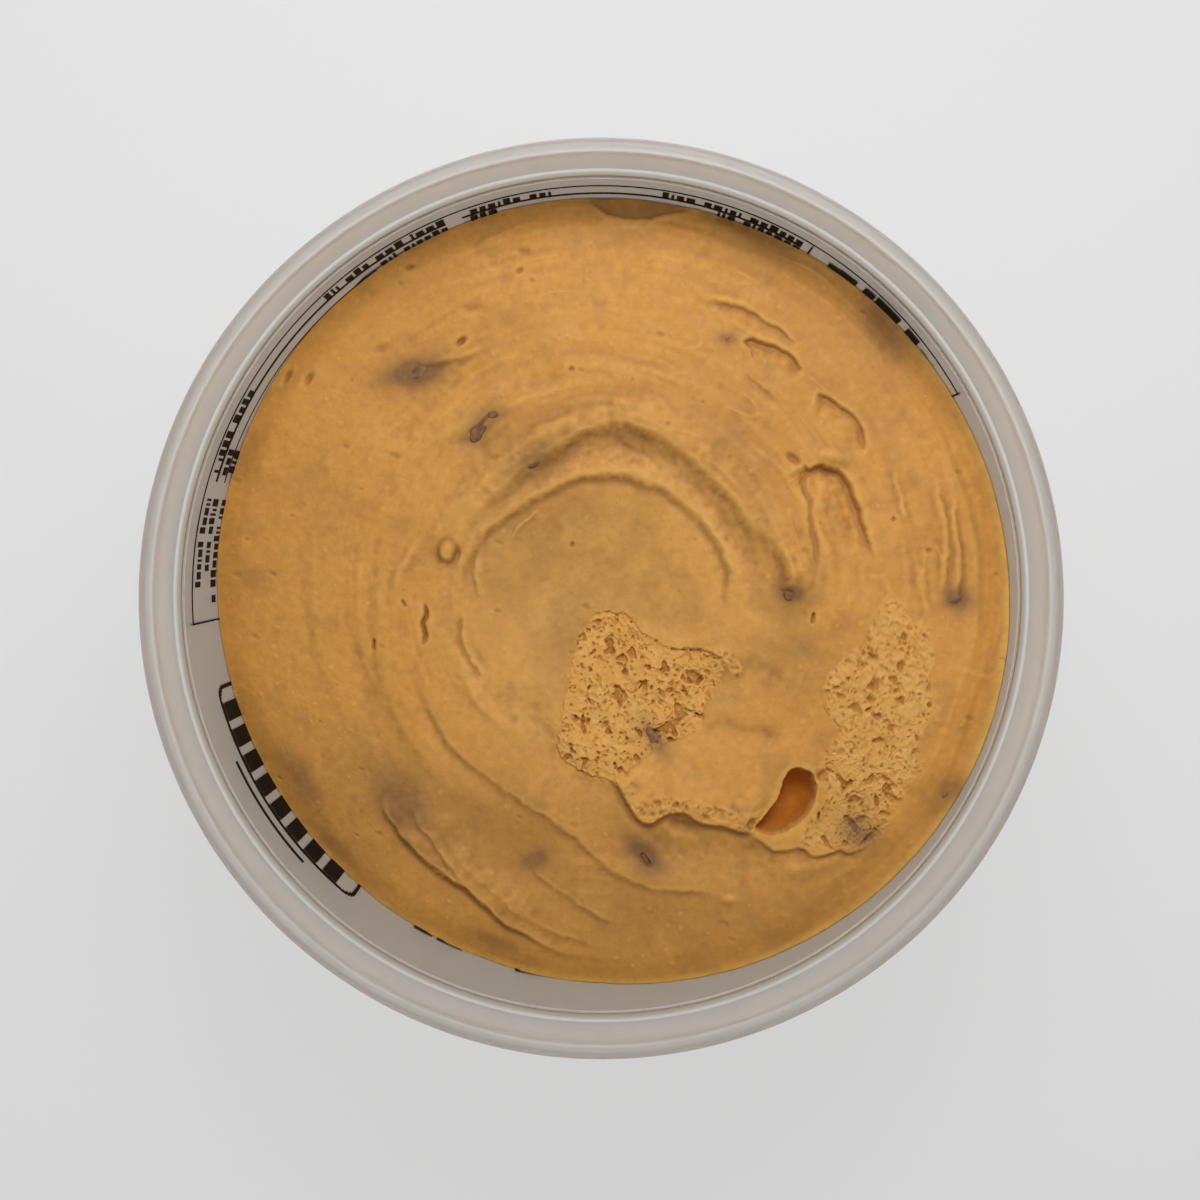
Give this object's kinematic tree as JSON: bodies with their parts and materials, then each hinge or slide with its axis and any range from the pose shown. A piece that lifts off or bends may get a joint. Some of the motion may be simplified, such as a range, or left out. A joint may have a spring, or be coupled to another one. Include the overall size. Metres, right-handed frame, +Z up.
{
  "type": "tub of cheese spread",
  "caption": "Open round tapered plastic tub with a collar and turned-down lip, filled with a swirled, torn savoury spread.",
  "frame": {"origin": "centre of the foot ring's plane, under the tub", "axes": "+Z up along the tub's axis; +X to the side where the spread stands high, +Y away from the viewer"},
  "size_m": [0.117, 0.117, 0.072],
  "materials": {
    "tub_plastic": "frosted translucent",
    "cheese_spread": "soft moist, uneven"
  },
  "bodies": {
    "root": {"tub": "tub_plastic", "spread": "cheese_spread"}
  },
  "joints": []
}
